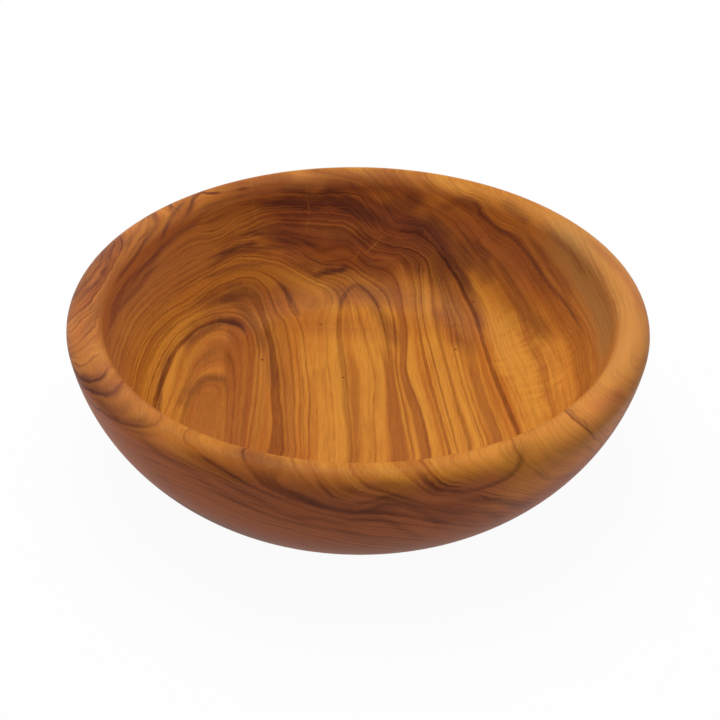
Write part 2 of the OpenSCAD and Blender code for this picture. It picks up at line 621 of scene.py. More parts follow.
GUIDES = (
    # Heart of the arch on the left of the floor, and the arches round it
    *guides(
        Face.HOLLOW,
        (-6.0, ((-34.8, -26), (-34.8, -10), (-34.6, 0))),
        (-5.0, ((-39.8, -26), (-39.6, -8), (-37.8, 4), (-34.5, 6.5), (-31.2, 4), (-30, -8), (-29.8, -26))),
        (-3.2, ((-41.9, -24), (-41.5, -8), (-38.8, 9), (-36, 15.5), (-33, 18), (-30.3, 14), (-29.3, 8), (-28.6, 0),
            (-28.4, -12), (-28.3, -26))),
        (-0.6, ((-45.4, -20), (-45.8, -8), (-45, 5), (-43.1, 15), (-38.8, 23.8), (-34.5, 28), (-31, 28.7),
            (-28.4, 27.4), (-26.8, 22), (-26.2, 13), (-26, 0), (-26.2, -15), (-26.2, -28))),
        (3.2, ((-49, -16), (-49.5, -4), (-48.2, 10), (-45.2, 19), (-41.2, 26), (-34.8, 33.7), (-29, 38.8),
            (-25.5, 39), (-23.7, 34.5), (-22.3, 29), (-20.6, 20), (-19.3, 10), (-18.4, 0), (-17, -10), (-16.4, -21))),
        (4.0, ((-18.2, 32), (-16.7, 23), (-15.5, 10), (-14.7, 0), (-14.4, -10), (-13.5, -21))),
        (5.2, ((-51.2, -14), (-51.6, 0), (-50.5, 10), (-47.3, 20), (-41.5, 29.3), (-35.5, 37), (-28.5, 42.5),
            (-23.5, 43.8), (-18.4, 42), (-16.7, 37), (-14.7, 32), (-13.2, 26), (-12.3, 15), (-11.1, 2), (-10.6, -10),
            (-10.4, -22))),
        (8.4, ((-52.6, -12), (-53, 0), (-51.7, 11), (-48.5, 21), (-43.5, 29.5), (-37, 37.3), (-29.5, 43.8),
            (-20, 46.9), (-11, 45.6), (-6, 44.2), (-4.4, 41), (-4.2, 33), (-3.75, 22), (-2.6, 8.5), (-2, -3),
            (-1.3, -12.5), (-0.8, -22))),
    ),
    # Lines of the middle of the floor, from the back wall to the front
    *guides(
        Face.HOLLOW,
        (12.8, ((-30, 45.3), (-20, 48.7), (-14, 48.3), (-9, 47.5), (-4, 47.6), (1.2, 44.4), (4.3, 40.5), (5.5, 35.5),
            (6.6, 28), (7.5, 17), (8.2, 6), (8.9, -8), (9.9, -20))),
        (14.1, ((8.75, 29), (9.2, 20), (9.1, 12), (9.8, 3), (10.8, -5), (12.3, -19))),
        (15.8, ((2, 49.2), (7.5, 47.7), (9.9, 45), (11.2, 37), (11.9, 28), (11.5, 19), (11.4, 11.5), (12.6, 3.5),
            (14.4, -4), (15.3, -11.5), (16.2, -20))),
        (18.2, ((4, 51.3), (10, 50.3), (13.2, 47.8), (14.3, 44), (14.4, 38), (15, 30), (15.75, 20), (16.75, 12),
            (17.75, 3), (18.75, -5), (19.8, -13), (20.9, -21))),
        (19.5, ((14.5, 48.5), (15.7, 44), (16.25, 36), (17, 27.5), (18.4, 16), (19.4, 7.5), (20.3, -0.5),
            (21.5, -9.5), (22.5, -19))),
        (21.0, ((17, 48.6), (18.6, 44.5), (19.3, 36), (20.1, 26.5), (21.2, 16), (22.25, 8), (23.1, 0), (24.25, -8),
            (25.6, -17.5))),
        (22.7, ((22.6, 33), (23.7, 20.5), (24.5, 12.5), (25.3, 4.5), (26.4, -3), (27.5, -9.5), (28.7, -17))),
        (25.2, ((26.4, 33), (27.9, 22), (28.8, 11), (29.8, 2), (31.2, -6), (32.5, -14))),
    ),
    # The bold line on the right, and the lines up the right wall
    *guides(
        Face.HOLLOW,
        (28.3, ((9, 53.2), (15, 52), (19.5, 48.8), (23.5, 44.5), (26.5, 39.5), (29, 33.5), (30.5, 26), (31.8, 16),
            (32.9, 9), (34.2, 1.5), (35.6, -6), (36.6, -13))),
        (36.0, ((15.5, 54.2), (20, 52.4), (25, 49), (32, 41.5), (35.5, 36), (38.5, 30), (40.8, 20.5), (43.1, 12),
            (43.8, 2), (44.4, -8))),
        (45.0, ((34, 45), (40, 39.6), (44, 33.2), (47.5, 25.4), (51, 15), (52.7, 6), (52.6, -8))),
        (47.0, ((22.7, 56.3), (23.4, 54.4), (26, 52.1), (31, 48.9))),
        (52.0, ((33.6, 49.8), (34.2, 48), (38, 44.2), (43, 39))),
    ),
    # Lines that run round the left and back walls
    *guides(
        Face.HOLLOW,
        (25.0, ((-56, 0), (-55.2, 10), (-52.5, 20), (-49.4, 27.3), (-45, 34.5), (-40, 40.3), (-30, 48.4), (-20, 53.2),
            (-10, 55.7), (-2, 56.5))),
        (16.5, ((-54.6, 0), (-53.6, 10.5), (-50.4, 20.5), (-45.6, 29.5), (-38.8, 38), (-29, 46.2), (-20, 50.6),
            (-10, 52.2), (-3, 52.6))),
    ),
    # Eye on the rim at the left, the ovals round it, and the crescents beside them
    *guides(
        Face.OUTSIDE,
        (40.0, ((170, 46.5),)),
        (38.0, ((161, 46), (163, 48.2), (168, 49.5), (174, 49.4), (178.5, 47.5))),
        (36.0, ((156.5, 46), (158, 48.8), (162, 50.5), (168, 51.6), (175, 51.2), (181, 49.8), (184.5, 47.5))),
        (34.5, ((154.5, 45.5), (155.5, 48.5), (159, 51), (164, 52.4), (170, 53), (177, 52.2), (183, 50.8),
            (187.5, 48), (187, 45.5))),
        (33.0, ((151.5, 45), (152, 48), (154, 50.8), (158.5, 53), (165, 54.1), (172, 54.3), (180, 53.4), (187, 51.6),
            (191, 48.5), (191, 45.5))),
        (31.5, ((145, 43.5), (144.5, 47), (146.5, 50.5), (151, 53), (158, 54.8), (166, 55.7), (175, 55.4),
            (184, 54.2), (190, 52.6), (194.5, 50.3), (197.5, 48), (196.5, 45))),
        (30.6, ((143, 43.5), (142.8, 47), (144.8, 51), (149, 54), (155, 55.8), (187, 55.2), (192, 53.8), (197, 51),
            (199.5, 48), (198, 45.5))),
        (29.0, ((137, 44), (137.5, 47.5), (139.5, 51), (143, 54.5), (197, 55), (202, 52), (205, 49), (204, 46.5))),
        (27.6, ((132, 43), (130.7, 47), (132.5, 50.5), (136.5, 53.5), (140, 55.2))),
        (27.6, ((203, 57), (207, 53.2), (210, 50), (211.5, 48), (209, 46), (203, 44))),
        (26.6, ((208, 58), (212, 54), (215.5, 50), (216.5, 48.3), (214, 46.5), (209, 44.5))),
        (26.0, ((214, 56), (220, 51.5), (222, 49), (221, 47.5), (215, 45.5))),
        (25.2, ((221, 55), (226, 51), (228.5, 48.5), (226, 46.5), (220, 44.5), (212, 42))),
        (24.6, ((232, 57), (233, 52), (234, 48))),
        (25.8, ((241, 57), (242, 52), (243.5, 48))),
    ),
    # Lines that cross the front rim and run down the outside
    *guides(
        Face.OUTSIDE,
        (27.4, ((248.2, 52), (249.5, 48.5), (252, 46), (255.5, 43), (262, 40.7), (270, 38.6), (275, 38.4), (282, 35),
            (288, 31.3))),
        (29.2, ((258, 56), (257.5, 53), (258.5, 50), (261, 47), (264, 43.5), (268, 41.2))),
        (28.4, ((253.5, 57), (253, 53), (254, 50), (256, 47.5))),
        (30.4, ((262.5, 57), (262, 52), (263.5, 48), (266, 45))),
        (32.0, ((267, 57), (267, 52), (268, 48))),
        (25.0, ((240, 47), (250, 44), (258, 40.2), (263, 38))),
        (19.6, ((245, 40), (256, 36.6), (264, 33.4), (270, 31))),
        (12.0, ((240, 33), (250, 29), (256, 28))),
        (38.0, ((280.7, 53), (280.6, 50), (282, 47), (284.5, 44), (288, 42.8))),
        (36.5, ((294, 36.5), (300, 33), (306.5, 27))),
        (46.0, ((302, 54), (301, 51), (300, 47), (304, 41), (308, 36.5))),
        (53.0, ((317.5, 54), (315, 50.5), (315, 47.5), (318.5, 42), (325, 34.5))),
        (59.0, ((329, 53), (326, 49), (331, 43))),
    ),
)


class Tone(Enum):
    """How a mark colours the wood; some tones also carry painted shade, painted light or painted sheen."""

    LINE = "dark line"
    BAND = "soft brown band"
    # Dark smoky wood, and also painted shade low on the outside at the front left
    SMOKE = "dark smoky wood"
    RUST = "reddish wood"
    # Pale gold wood, and also painted light on the left wall and a painted highlight along the right of the rim
    GLOW = "pale gold wood"
    # Pale greyish wood, and also painted sheen on the right of the rim and high on the right wall
    ASH_AND_PAINTED_SHEEN = "pale greyish wood"
    # Bright orange wood, and also painted light low on the right of the hollow
    PEACH_AND_PAINTED_LIGHT = "bright orange wood"


@dataclass(frozen=True)
class Reach:
    """Stretch of the dish that veins show on: the hollow or the shell round it, between limits of x and y.

    The limits, and the length over which the ends fade, are in millimetres.
    """

    hollow: bool | None = True
    left: float | None = None
    right: float | None = None
    near: float | None = None
    far: float | None = None
    fade: float = 5.0

    def mask(self, inside: Wire, x: Wire, y: Wire) -> Value:
        """Where the stretch is.

        Args:
            inside: 1 in the hollow and 0 on the rim and outside.
            x: Place across the grain.
            y: Place along the grain.

        Returns:
            1 on the stretch, with soft ends.
        """
        shown: Value = 1.0 if self.hollow is None else inside if self.hollow else 1 - inside
        for place, limit, way in ((x, self.left, -1), (x, self.right, 1), (y, self.near, -1), (y, self.far, 1)):
            if limit is not None:
                shown = place.rise(limit + way * self.fade, limit) * shown
        return shown


# Stretches of the hollow
FLOOR = Reach()
ARCH = Reach(right=-8)
ARCH_WEST = Reach(right=-29, fade=2.5)
ARCH_FLANK = Reach(left=-31, right=-22, fade=2)
ARCH_EAST = Reach(left=-28.5, right=-8, fade=3)
BOLD_EAST = Reach(left=-25, far=36)
EAST = Reach(left=-20)
EAST_MID = Reach(left=-20, far=10, fade=18)
EAST_FAR = Reach(left=-20, near=18)
EAST_WALL = Reach(left=12)
WALL_WEST = Reach(right=4)
WALL_BACK = Reach(left=-36, right=6, near=36)
# Stretches of the rim and the outside
RIM_WEST = Reach(hollow=False, right=-30, near=-34, fade=8)
SHELL_FRONT = Reach(hollow=False, left=-42, far=0)


@dataclass(frozen=True)
class Vein:
    """A line or band between two ring numbers, with soft edges before and after it."""

    start: float
    end: float
    lead: float
    trail: float
    depth: float
    reach: Reach = FLOOR
    tone: Tone = Tone.LINE

    def mask(self, ring: Wire, reach: Value) -> Wire:
        """How strongly the vein shows.

        Args:
            ring: Ring number.
            reach: Mask of the vein's stretch.

        Returns:
            A value from 0 to the vein's depth.
        """
        begun, over = ring.rise(self.start - self.lead, self.start), ring.rise(self.end, self.end + self.trail)
        return (begun - over) * self.depth * reach


@dataclass(frozen=True)
class Streak:
    """A dark line of even width along one ring; its width is in millimetres, its core and edge are shares of it."""

    ring: float
    width: float
    depth: float
    reach: Reach
    core: float = 0.15
    edge: float = 0.75

    def mask(self, ring: Wire, pace: Wire, reach: Value) -> Wire:
        """How strongly the streak shows.

        Args:
            ring: Ring number.
            pace: Rings in each millimetre.
            reach: Mask of the streak's stretch.

        Returns:
            A value from 0 to the streak's depth.
        """
        apart = (ring - self.ring) / (pace * self.width)
        return (1 - apart.most(-apart).rise(self.core, self.edge)) * self.depth * reach


VEINS = (
    # Arches on the left
    Vein(-5.1, -4.9, 0.3, 0.5, 0.4, ARCH),
    Vein(-9.0, -5.4, 0.3, 0.3, 0.38, ARCH, Tone.BAND),
    Vein(-3.25, -3.1, 0.2, 0.4, 0.38, ARCH),
    Vein(-2.0, -1.95, 0.15, 0.25, 0.15, ARCH),
    Vein(-0.7, -0.35, 0.12, 0.7, 0.72, ARCH_WEST),
    Vein(-0.65, -0.55, 0.12, 0.15, 0.24, ARCH_EAST),
    Vein(-0.3, 2.3, 0.3, 0.3, 0.32, ARCH_EAST, Tone.BAND),
    Vein(-4.6, 0.3, 0.4, 0.5, 0.62, ARCH_FLANK, Tone.BAND),
    Vein(0.4, 0.5, 0.15, 0.25, 0.3, ARCH_WEST),
    Vein(1.06, 1.16, 0.2, 0.3, 0.28, ARCH),
    Vein(1.78, 1.86, 0.2, 0.2, 0.25, ARCH),
    # Bold line beside the arch
    Vein(2.72, 3.2, 0.12, 0.12, 0.68, BOLD_EAST),
    Vein(3.2, 3.5, 0.1, 0.14, 0.35, BOLD_EAST),
    Vein(2.9, 3.1, 0.25, 0.25, 0.3, ARCH_WEST),
    Vein(3.5, 3.95, 0.1, 0.06, 0.4, FLOOR, Tone.BAND),
    Vein(3.96, 4.03, 0.06, 0.1, 0.42),
    Vein(4.38, 4.43, 0.06, 0.1, 0.26),
    Vein(4.62, 4.67, 0.08, 0.1, 0.2),
    Vein(5.04, 5.12, 0.06, 0.12, 0.4),
    # Middle of the floor
    Vein(8.12, 8.36, 0.3, 0.1, 0.48),
    Vein(8.36, 8.9, 0.05, 0.4, 0.3, EAST_MID, Tone.BAND),
    Vein(12.0, 13.4, 0.6, 0.5, 0.6, EAST_MID, Tone.BAND),
    Vein(12.68, 12.84, 0.1, 0.14, 0.5, EAST_FAR),
    Vein(14.0, 14.2, 0.1, 0.16, 0.42, EAST),
    Vein(15.0, 15.9, 0.5, 0.25, 0.6, EAST, Tone.BAND),
    Vein(15.72, 15.84, 0.12, 0.15, 0.35, EAST),
    Vein(18.02, 18.1, 0.1, 0.08, 0.5, EAST),
    Vein(18.24, 18.34, 0.08, 0.14, 0.5, EAST),
    Vein(19.28, 19.42, 0.1, 0.16, 0.55, EAST),
    Vein(20.76, 21.0, 0.1, 0.35, 0.5, EAST),
    Vein(22.44, 22.56, 0.1, 0.16, 0.45, EAST),
    Vein(23.1, 23.25, 0.12, 0.15, 0.28, EAST),
    Vein(24.0, 25.1, 0.5, 0.5, 0.5, EAST_MID, Tone.BAND),
    # Bold line on the right, and the lines of the right wall
    Vein(27.7, 28.4, 0.15, 0.4, 0.68, EAST_WALL),
    Vein(35.9, 36.7, 0.4, 0.6, 0.35, EAST_WALL, Tone.BAND),
    Vein(42.0, 44.9, 1.5, 0.2, 0.4, EAST_WALL, Tone.BAND),
    Vein(46.6, 46.8, 0.2, 0.3, 0.2, EAST_WALL),
)


def streaks(reach: Reach, *rows: tuple[float, float, float]) -> tuple[Streak, ...]:
    """Streaks on one stretch, from rows of ring number, width and depth."""
    return tuple(Streak(*row, reach) for row in rows)


STREAKS = (
    # Lines round the left and back walls
    *streaks(
        WALL_WEST,
        (7.05, 0.5, 0.25), (10.3, 0.5, 0.3), (13.3, 0.5, 0.3), (16.5, 0.6, 0.35), (21.8, 0.6, 0.35),
        (24.9, 0.7, 0.45),
    ),
    *streaks(
        WALL_BACK,
        (9.4, 0.45, 0.3), (11.7, 0.5, 0.35), (14.8, 0.45, 0.35), (17.9, 0.45, 0.4), (19.1, 0.6, 0.5),
        (20.4, 0.45, 0.4), (23.2, 0.5, 0.45), (26.4, 0.5, 0.45),
    ),
    # Ovals and crescents on the left rim
    *streaks(
        RIM_WEST,
        (25.2, 0.8, 0.81), (26.0, 0.5, 0.47), (26.6, 0.8, 0.81), (27.6, 0.9, 0.85), (29.0, 0.6, 0.47),
        (30.6, 0.6, 0.68), (31.5, 0.6, 0.74), (33.0, 0.6, 0.54), (34.5, 0.7, 0.74), (35.3, 0.5, 0.54),
        (36.0, 0.7, 0.68), (38.0, 0.8, 0.61),
    ),
    # Arcs over the front rim and down the outside
    *streaks(
        SHELL_FRONT,
        (12.0, 0.7, 0.3), (14.4, 0.7, 0.3), (19.6, 0.8, 0.4), (25.0, 0.6, 0.25), (27.4, 0.9, 0.5), (28.2, 0.5, 0.25),
        (29.2, 0.8, 0.4), (30.4, 0.5, 0.2), (36.5, 0.6, 0.2), (37.9, 0.6, 0.6), (39.0, 0.5, 0.45), (46.0, 0.6, 0.35),
        (53.0, 0.6, 0.6), (54.2, 0.4, 0.2), (59.0, 0.7, 0.35),
    ),
)


@dataclass(frozen=True)
class Pinhole:
    """A tiny dark hole or knot in the hollow, seen from above; sizes are in millimetres."""

    x: float
    y: float
    radius: float
    depth: float
    core: float = 0.5

    def mask(self, x: Wire, y: Wire) -> Wire:
        """How dark the hole makes a place."""
        apart = ((x - self.x) * (x - self.x) + (y - self.y) * (y - self.y)).root()
        return (1 - apart.rise(self.radius * self.core, self.radius)) * self.depth


PINHOLES = (
    Pinhole(-23.0, 15.0, 0.45, 0.9),
    Pinhole(-3.4, 8.0, 0.4, 0.8),
    Pinhole(23.7, 20.5, 0.4, 0.85),
    Pinhole(28.6, 36.5, 0.35, 0.6),
    Pinhole(-9.3, 30.7, 0.7, 0.4),
)


@dataclass(frozen=True)
class HairCheck:
    """A pale hairline crack between two places seen from above, widest in its middle; sizes are in millimetres."""

    start: Point
    end: Point
    depth: float = 0.6
    width: float = 0.32
    core: float = 0.2

    def mask(self, x: Wire, y: Wire) -> Wire:
        """How pale the crack makes a place.

        Args:
            x: Place across the grain.
            y: Place along the grain.

        Returns:
            A value from 0 to the crack's depth.
        """
        legs = [((x - a) * (x - a) + (y - b) * (y - b)).root() for a, b in (self.start, self.end)]
        length = math.dist(self.start, self.end)
        spare = self.width ** 2 / (2 * length)
        return (1 - (legs[0] + legs[1] - length).rise(spare * self.core, spare)) * self.depth


CHECKS = (
    HairCheck((-27.5, 54.6), (-27.0, 50.9), 0.5),
    HairCheck((-26.8, 50.5), (-25.9, 49.2), 0.4),
    HairCheck((-13.6, 56.4), (-13.4, 55.1), 0.4),
    HairCheck((-13.2, 55.0), (-12.7, 53.9), 0.5),
    HairCheck((-12.9, 53.8), (-13.7, 52.2), 0.35),
    HairCheck((5.9, 53.1), (1.6, 50.9), 0.5),
    HairCheck((0.3, 51.6), (-1.7, 49.9), 0.35),
    HairCheck((-39.6, 39.7), (-38.2, 36.8), 0.35),
    HairCheck((-34.6, 34.7), (-35.0, 25.0), 0.2),
    HairCheck((-26.1, 46.5), (-25.3, 41.3), 0.2),
    HairCheck((15.4, 52.9), (20.8, 48.1), 0.12),
    HairCheck((24.4, 44.3), (26.1, 41.0), 0.15),
)


@dataclass(frozen=True)
class Brush:
    """A soft stroke of colour in the wood, along points on one face; its radius is in millimetres.

    It fades over the soft share of its radius, and over the taper's share of its length at each end. A blunt tip
    leaves some of the stroke at its very ends.
    """

    tone: Tone
    face: Face
    radius: float
    strength: float
    points: tuple[Point, ...]
    soft: float = 0.85
    taper: float = 0.25
    blunt: float = 0.15

    def lay(self, places: np.ndarray, section: np.ndarray, foot: float) -> np.ndarray:
        """How strongly the stroke colours each place.

        Args:
            places: Rows of x, y and z in millimetres.
            section: Rows of the dish's run, radius and height.
            foot: Radius of the foot.

        Returns:
            Values from 0 to the stroke's strength.
        """
        line = GrainGuide(0.0, self.face, self.points).places(section, foot)
        steps = np.linalg.norm(np.diff(line, axis=0), axis=1)
        close = np.all((places > line.min(0) - self.radius) & (places < line.max(0) + self.radius), axis=1)
        near = places[close]
        away, gone = np.full(len(near), np.inf), np.zeros(len(near))
        for start, end, before, step in zip(line[:-1], line[1:], np.cumsum(steps) - steps, steps):
            way = (end - start) / step
            along = np.clip((near - start) @ way, 0.0, step)
            apart = np.linalg.norm(near - start - along[:, None] * way, axis=1)
            gone = np.where(apart < away, before + along, gone)
            away = np.minimum(away, apart)
        ends = soft_step(np.minimum(gone, steps.sum() - gone) / (self.taper * steps.sum()) + self.blunt)
        laid = np.zeros(len(places))
        laid[close] = soft_step((self.radius - away) / (self.soft * self.radius)) * ends * self.strength
        return laid


def strokes(tone: Tone, face: Face, *rows: tuple[float, float, tuple[Point, ...]]) -> tuple[Brush, ...]:
    """Strokes of one tone on one face, from rows of radius, strength and points."""
    return tuple(Brush(tone, face, *row) for row in rows)


